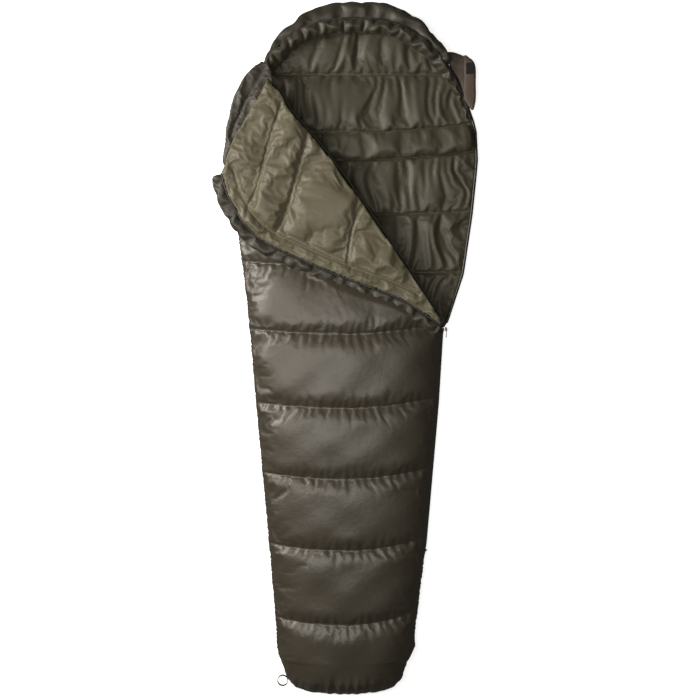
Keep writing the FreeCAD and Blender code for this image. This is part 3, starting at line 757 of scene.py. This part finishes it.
def flap_place(points, distance, side):
    """The folded flap, with its lining upwards and its collar tube standing out."""
    if side < 0:
        return flap_height(points, FLAP_MIDDLE - 0.011 * dome(distance, 0.03))
    folds = soft_noise(points, (0.07, 0.22), 11) * 0.004 * np.clip(distance / FOLD_FADE, 0, 1)
    tube_share = np.clip(1 - nearest(points, collar_middle) / 0.048, 0, 1)
    rise = FLAP_MIDDLE + FLAP_LOFT * dome(distance, 0.05) + COLLAR_RISE * dome(tube_share, 1.0) + folds
    rise[distance < ON_SEAM] = FLAP_MIDDLE
    return flap_height(points, rise)


flap = quilt("flap_panel", FLAP_LOCAL, flap_seams, flap_place, [LINING, SHELL], 0.0068, 0.025)
puff(flap, grow=0.05, pressure=2.4, cap=0.009, bending=0.08)
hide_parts("flap_shell", "flap_insulation", "flap_lining", "zip_draft_tube", "flap_collar")

lip_line = free_line + to_outside * LIP_OUTSET
lip_path = flap_height(lip_line, 0.004)
# The lip is in the darkened shell colour: painted shade.
lip = tube("flap_lip", lip_path, 0.021, 0.011, SHADED_SHELL, seams=(0, 9), gather=0.08, waves=22)
puff(lip, grow=0.12, pressure=2.0, cap=0.006)
flap_zip = tube("flap_zip", flap_height(free_line, 0.015), 0.0038, 0.003, COIL, around=8)
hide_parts("zip_tape_flap", "zip_coil_flap")

# The flap's outer side that shows beyond its neck edge, and the gathered line down it.
NECK_BAND = [
    (-0.250, 0.905), (-0.290, 0.892), (-0.328, 0.856), (-0.347, 0.824), (-0.362, 0.793), (-0.372, 0.761),
    (-0.378, 0.729), (-0.386, 0.697), (-0.392, 0.640), (-0.398, 0.590), (-0.380, 0.580),
    (-0.340, 0.660), (-0.300, 0.720), (-0.262, 0.780), (-0.235, 0.840),
]
BAND_GATHER = [(-0.262, 0.880), (-0.300, 0.815), (-0.340, 0.745), (-0.368, 0.670)]


def band_place(points, distance, side):
    """The neck band: thin and in the darkened shell colour (painted shade), it lies just above the plane of
    the folded flap.
    """
    folds = soft_noise(points, (0.03, 0.2), 21) * 0.002 * np.clip(distance / 0.015, 0, 1)
    swell = dome(distance, 0.025)
    rise = 0.008 + (0.009 * swell + folds if side > 0 else -0.005 * swell)
    return np.column_stack([points, fold_height(points) + rise])


band_outline = closed(smooth_line(NECK_BAND + NECK_BAND[:1], 0.006), 0.006)
band_seams = [smooth_line(BAND_GATHER, 0.006)]
# The band is in the darkened shell colour on both sides: painted shade.
band_finishes = [SHADED_SHELL, SHADED_SHELL]
band = quilt("neck_band", band_outline, band_seams, band_place, band_finishes, 0.006, 0.015)
puff(band, grow=0.04, pressure=1.2, cap=0.004, bending=0.2)

# ------------------------------------------------------------------ hood

RIM_HALF = 0.022
RIM_HIGH = 0.021
RIM_TOP = 0.062

rim_line = smooth_line(RIM, 0.006)
roll_rows = smooth_line(ROLL, 0.006)
roll_path = raised(roll_rows[:, :2], 0.038)
# The roll is in the darkened shell colour: painted shade.
hood_roll = tube(
    "hood_roll", roll_path, roll_rows[:, 2], 0.036, SHADED_SHELL,
    seams=(0, 12), around=24, gather=0.07, waves=14,
)
puff(hood_roll, grow=0.05, pressure=2.5, cap=0.010, bending=0.2)
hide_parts("hood_shell", "hood_insulation")
# 0 along most of the rim and 1 at its right end, where it gets thinner and sinks under the guard tab.
sunk = np.clip(np.linspace(-2.6, 1.2, len(rim_line)), 0, 1)
rim_height = RIM_TOP - 0.038 * sunk
rim_half = RIM_HALF * (1 - 0.5 * sunk)
# The rim is in the darkened rim lining: painted shade.
hood_rim = tube(
    "hood_rim", np.column_stack([rim_line, rim_height]), rim_half, RIM_HIGH - 0.010 * sunk, SHADED_RIM_LINING,
    seams=(0, 10), around=20, gather=0.07, waves=30,
)
puff(hood_rim, grow=0.14, pressure=2.0, cap=0.010)
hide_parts("hood_rim_tube")
rim_away = to_left(rim_line)
channel_plan = rim_line + rim_away * (rim_half - 0.003)[:, None]
channel_line = np.column_stack([channel_plan, rim_height + 0.010 - 0.006 * sunk])
channel = tube("hood_channel", channel_line, 0.0045, 0.005, TAPE, around=8, gather=0.3, waves=60)
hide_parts("hood_drawcord")

# ------------------------------------------------------------------ zip beside the opening and below it

ZIP_HALF = 0.0045
ZIP_HIGH = 0.004


def beside_edge(low, high, out, height):
    """A level line outside the bag's right edge."""
    places = np.arange(low, high, SEAM_STEP)
    return raised(np.column_stack([along_edge(places, RIGHT) + out, places]), height)


beside_rim = np.column_stack([rim_line + rim_away * (rim_half + 0.002)[:, None], rim_height - 0.004])
beside_rim = beside_rim[(rim_line[:, 0] > 0.28) & (rim_line[:, 1] > 0.745)][::-1]
back_zip_path = even_line(np.vstack([beside_edge(0.085, 0.731, 0.007, 0.030), beside_rim]), SEAM_STEP)
back_zip = tube("back_zip", back_zip_path, ZIP_HALF, ZIP_HIGH, COIL, around=8)
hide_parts("zip_tape_back", "zip_coil_back")
shut_zip = beside_edge(-0.636, 0.075, 0.003, 0.026)
closed_zip = tube("closed_zip", shut_zip, ZIP_HALF, ZIP_HIGH, COIL, around=8)
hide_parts("zip_tape_closed", "zip_coil_closed")

# ------------------------------------------------------------------ collar tube across the back

collar_x = np.arange(-0.09, 0.394, SEAM_STEP)
collar_places = (COLLAR_LOW + COLLAR_HIGH) / 2 + 0.030 * (collar_x / 0.4) ** 2
collar_path = raised(np.column_stack([collar_x, collar_places]), 0.034)
# The collar tube is in the darkened back lining: painted shade.
collar = tube(
    "back_collar_tube", collar_path, 0.043, 0.021, SHADED_BACK_LINING,
    seams=(0, 10), around=20, gather=0.03, waves=8,
)
puff(collar, grow=0.06, pressure=2.0, cap=0.008, bending=0.05)
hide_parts("back_collar")

# ------------------------------------------------------------------ fabric that turns over at the fold


STRIP_ROWS = 9
STRIP_REACH = 0.007
STRIP_HALF = 0.024
STRIP_MIDDLE = -0.006


def fold_strip():
    """A half round strip from the fixed side's edge up to the flap's edge, in the darkened shell colour:
    painted shade below the crest.
    """
    local = crest_line[::2]
    verts = []
    for turn in np.linspace(-math.pi / 2, math.pi / 2, STRIP_ROWS):
        outwards = np.array([0, -STRIP_REACH * math.cos(turn)])
        verts.append(flap_height(local + outwards, STRIP_MIDDLE + STRIP_HALF * math.sin(turn)))
    count = len(local)
    faces = []
    for row in range(STRIP_ROWS - 1):
        for index in range(count - 1):
            corner = row * count + index
            faces.append((corner, corner + 1, corner + 1 + count, corner + count))
    return new_piece("fold_strip", np.vstack(verts), faces, [SHADED_SHELL])


strip = fold_strip()
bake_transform(strip)

# ------------------------------------------------------------------ guard tab

TAB_HEIGHT = 0.0405
TAB_HALF = 0.003
TAB_STEP = 0.005
TAB_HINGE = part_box("zip_guard_tab")[0].x
TAB = [
    (TAB_HINGE, 0.800), (0.383, 0.773), (0.396, 0.765), (0.404, 0.800), (0.404, 0.850),
    (0.404, 0.895), (0.398, 0.918), (0.384, 0.931), (TAB_HINGE, 0.936), (TAB_HINGE, 0.860),
]
TAB_ROOT = [
    (TAB_HINGE + 0.006, 0.935), (0.350, 0.944), (0.330, 0.950), (0.310, 0.946), (0.322, 0.905),
    (0.352, 0.852), (TAB_HINGE + 0.006, 0.800), (TAB_HINGE + 0.008, 0.870),
]


def lobe(name, outline, middle):
    """A thin padded lobe lying level, with its middle at a height."""

    def place(points, distance, side):
        return np.column_stack([points, middle + side * TAB_HALF * dome(distance, 0.02)])

    ring = closed(smooth_line(outline + outline[:1], TAB_STEP), TAB_STEP)
    return quilt(name, ring, [], place, [LOBE, LOBE], TAB_STEP, 2 * TAB_STEP)


tab = lobe("guard_tab_lobe", TAB, TAB_HEIGHT)
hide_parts("zip_guard_tab")
# The root stays on the hood, just under the tab's hinge.
tab_root = lobe("guard_tab_root", TAB_ROOT, TAB_HEIGHT - 0.002)

# ------------------------------------------------------------------ cord lock spring

lock_low, lock_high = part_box("lock_spring")
LOCK_WIRE = 0.0005
LOCK_TURNS = 2.5
lock_share = np.linspace(0, 1, 60)
lock_turn = lock_share * LOCK_TURNS * 2 * math.pi
lock_radius = (lock_high.x - lock_low.x) / 2 - LOCK_WIRE
spring_path = np.column_stack([
    (lock_low.x + lock_high.x) / 2 + lock_radius * np.cos(lock_turn),
    (lock_low.y + lock_high.y) / 2 + lock_radius * np.sin(lock_turn),
    lock_low.z + LOCK_WIRE + (lock_high.z - lock_low.z - 2.4 * LOCK_WIRE) * lock_share,
])
spring = tube("lock_spring_wire", spring_path, LOCK_WIRE, LOCK_WIRE, STEEL, around=8)
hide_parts("lock_spring")

# ------------------------------------------------------------------ filling, smoothing and riding

simulate()

for thing in (back, top, flap, hood_roll, hood_rim, collar, lip, band):
    smooth = thing.modifiers.new("smooth", "SUBSURF")
    smooth.levels = 1
    smooth.render_levels = 1
RIDERS = {
    "bag": (channel, back_zip, closed_zip, back, top, hood_roll, hood_rim, collar, tab_root),
    "flap": (flap, lip, flap_zip, band),
    "guard_tab": (tab,),
    "cord_lock": (spring,),
}
for body, things in RIDERS.items():
    for thing in things:
        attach(thing, body)
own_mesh(spring)
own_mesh(collar)

# ------------------------------------------------------------------ floor, light and camera

WARM = (1.0, 0.94, 0.85)
FLOOR_GLOW = 0.6
SKY_STRENGTH = 0.035
EXPOSURE = 0.35
CAMERA_PLACE = (0.003, 0, 3.66)
LENS = 58.4


def studio():
    """A pale floor that doesn't tint the bag, a soft key light and a long strip light."""
    bpy.ops.mesh.primitive_plane_add(size=60, location=(0, 0, -0.001))
    floor = bpy.context.object
    floor.name = "floor"
    white, _, shader = finish_nodes("floor", (0.9, 0.9, 0.9), 0.9)
    shader.inputs["Emission Color"].default_value = (1, 1, 1, 1)
    shader.inputs["Emission Strength"].default_value = FLOOR_GLOW
    floor.data.materials.append(white)
    floor.visible_diffuse = False
    floor.visible_glossy = False
    world = bpy.data.worlds.new("studio")
    bpy.context.scene.world = world
    world.use_nodes = True
    world.node_tree.nodes["Background"].inputs["Color"].default_value = (1, 1, 1, 1)
    world.node_tree.nodes["Background"].inputs["Strength"].default_value = SKY_STRENGTH
    add_light("key", (-2.6, 1.1, 1.7), (1.2, 1.2), 85)
    add_light("strip", (-0.68, 0.0, 3.0), (0.16, 2.8), 42)
    bpy.context.scene.view_settings.view_transform = "Standard"
    bpy.context.scene.view_settings.exposure = EXPOSURE


def add_light(name, place, size, power):
    """A warm area light that points at the middle of the bag."""
    data = bpy.data.lights.new(name, "AREA")
    data.shape = "RECTANGLE"
    data.size, data.size_y = size
    data.energy = power
    data.color = WARM
    light = bpy.data.objects.new(name, data)
    light.location = place
    light.rotation_euler = (-Vector(place)).to_track_quat("-Z", "Y").to_euler()
    bpy.context.scene.collection.objects.link(light)


def add_camera():
    """A camera straight above the bag."""
    data = bpy.data.cameras.new("camera")
    data.sensor_width = 36
    data.lens = LENS
    camera = bpy.data.objects.new("camera", data)
    camera.location = CAMERA_PLACE
    bpy.context.scene.collection.objects.link(camera)
    bpy.context.scene.camera = camera


studio()
add_camera()
